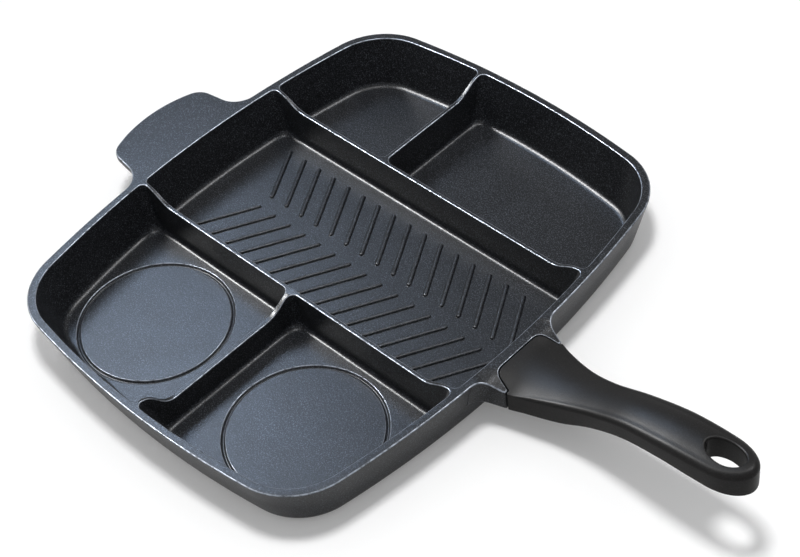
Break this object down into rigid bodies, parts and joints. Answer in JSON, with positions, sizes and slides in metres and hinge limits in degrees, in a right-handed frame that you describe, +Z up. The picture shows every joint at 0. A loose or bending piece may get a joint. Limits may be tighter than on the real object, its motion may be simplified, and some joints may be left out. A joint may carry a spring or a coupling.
{
  "type": "divided skillet",
  "caption": "Rounded-square divided frying pan with a ribbed grill, separate side compartments, a helper tab and a moulded handle with a hanging hole.",
  "frame": {"origin": "middle of the flat base, on the surface that the pan stands on", "axes": "+X along the handle away from the pan, +Z up, +Y across the pan towards the two undivided-floor compartments behind the grill"},
  "size_m": [0.5433, 0.3804, 0.0744],
  "materials": {
    "coated_aluminium": "black non-stick coating, satin with a fine sparkle",
    "phenolic": "soft satin",
    "insert_brass": "machined",
    "zinc_steel": "zinc plated"
  },
  "bodies": {
    "root": {"pan_casting": "coated_aluminium", "handle_grip": "phenolic", "handle_insert_left": "insert_brass", "flat_washer_left": "zinc_steel", "spring_washer_left": "zinc_steel", "handle_screw_left": "zinc_steel", "handle_insert_right": "insert_brass", "flat_washer_right": "zinc_steel", "spring_washer_right": "zinc_steel", "handle_screw_right": "zinc_steel"}
  },
  "joints": []
}
